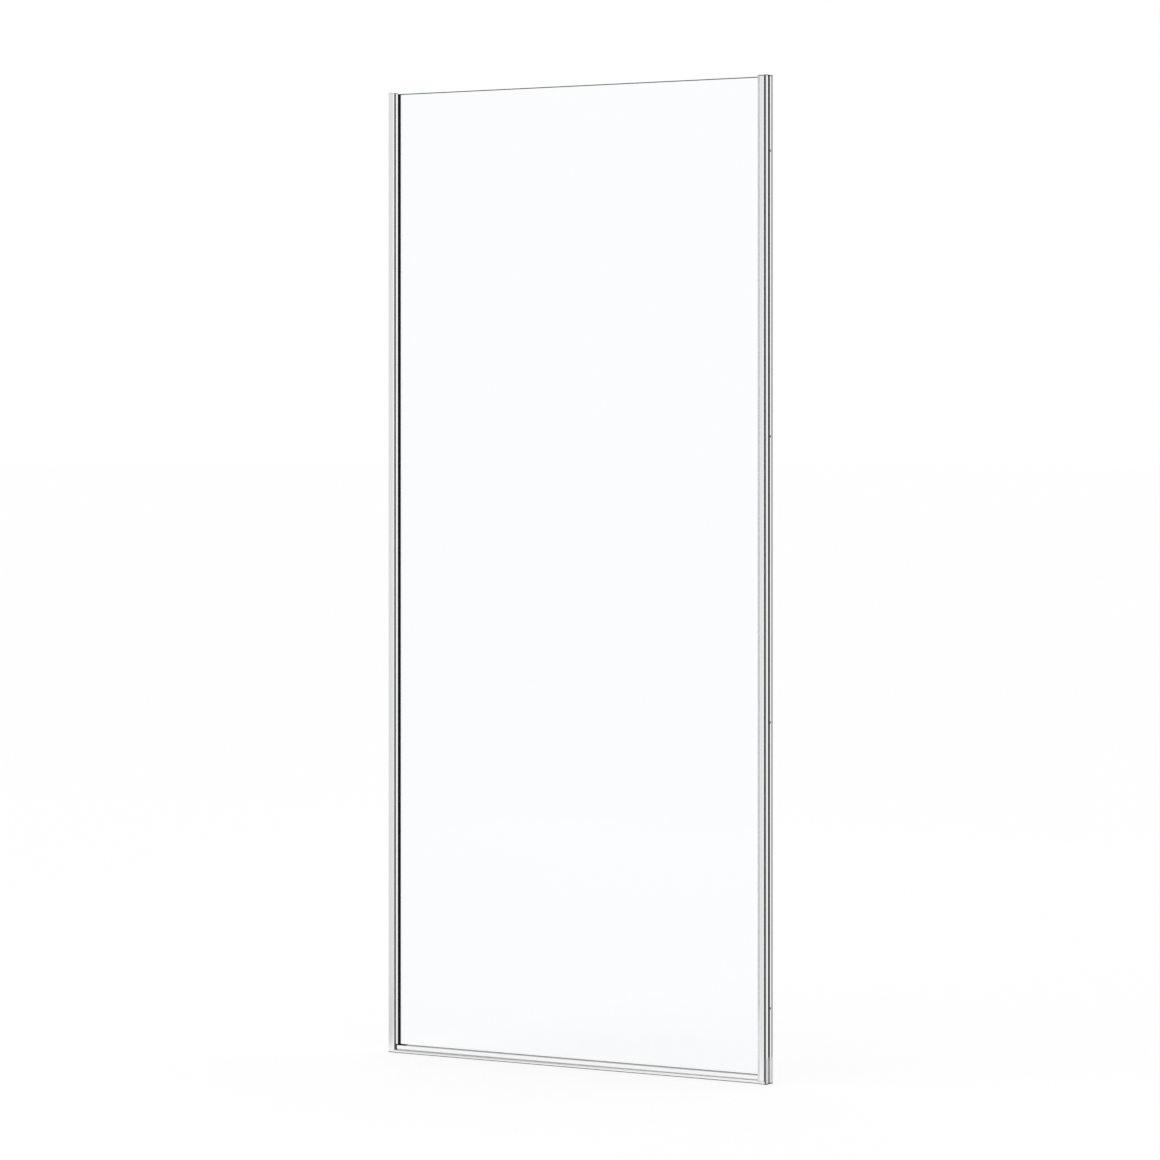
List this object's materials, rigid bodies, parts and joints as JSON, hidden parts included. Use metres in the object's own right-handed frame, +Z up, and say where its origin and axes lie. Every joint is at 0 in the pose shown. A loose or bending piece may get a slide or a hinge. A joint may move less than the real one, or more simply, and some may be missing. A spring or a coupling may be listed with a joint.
{
  "type": "niche shower door",
  "caption": "Frameless-look pivoting glass shower door for a niche, with slim wall profiles, magnetic closing seal and a low floor sill.",
  "frame": {"origin": "on the floor, midway between the two niche walls and midway through the depth of the hinge profile", "axes": "+X from the closing side to the hinge side, +Y from the room into the shower, +Z up; the door is shut at rest"},
  "size_m": [0.9, 0.027, 2],
  "materials": {
    "bright_aluminium": "bright polished and anodised",
    "clear_glass": "clear, polished",
    "black_rubber": "matte",
    "grey_rubber": "matte",
    "grey_moulding": "fine satin",
    "bearing_plastic": "smooth",
    "white_seal": "smooth, flexible",
    "magnet_strip": "matte",
    "steel": "ground",
    "bed_tape": "closed-cell foam tape"
  },
  "bodies": {
    "frame": {"hinge_wall_profile": "bright_aluminium", "wall_seal_strip": "black_rubber", "hinge_gap_seal": "grey_rubber", "lower_bearing_block": "grey_moulding", "upper_bearing_cap": "grey_moulding", "upper_pivot_bush": "bearing_plastic", "lower_pivot_bush": "bearing_plastic", "bearing_set_screws": "steel", "strike_wall_profile": "bright_aluminium", "strike_top_cap": "grey_moulding", "strike_magnet_holder": "grey_rubber", "strike_magnet": "magnet_strip", "threshold_sill": "bright_aluminium", "sill_bed_tape": "bed_tape"},
    "door": {"door_glass": "clear_glass", "hinge_stile": "bright_aluminium", "front_glazing_gasket": "grey_rubber", "rear_glazing_gasket": "grey_rubber", "glass_edge_blocks": "bearing_plastic", "lower_pivot_plug": "bearing_plastic", "upper_pivot_plug": "bearing_plastic", "lower_pivot_pin": "steel", "upper_pivot_pin": "steel", "bottom_rail": "bright_aluminium", "bottom_drip_fin": "grey_rubber", "bottom_rail_front_gasket": "grey_rubber", "bottom_rail_rear_gasket": "grey_rubber", "bottom_rail_left_cap": "black_rubber", "bottom_rail_right_cap": "grey_moulding", "closing_seal_tube": "white_seal", "door_magnet": "magnet_strip", "closing_seal_front_leg": "black_rubber", "closing_seal_rear_leg": "black_rubber", "closing_corner_seals": "black_rubber"}
  },
  "joints": [
    {"name": "door_swing", "type": "hinge", "parent": "frame", "child": "door", "pos_m": [0.4386, -0.008, 0], "axis": [0, 0, 1], "range_deg": [0, 100]}
  ]
}
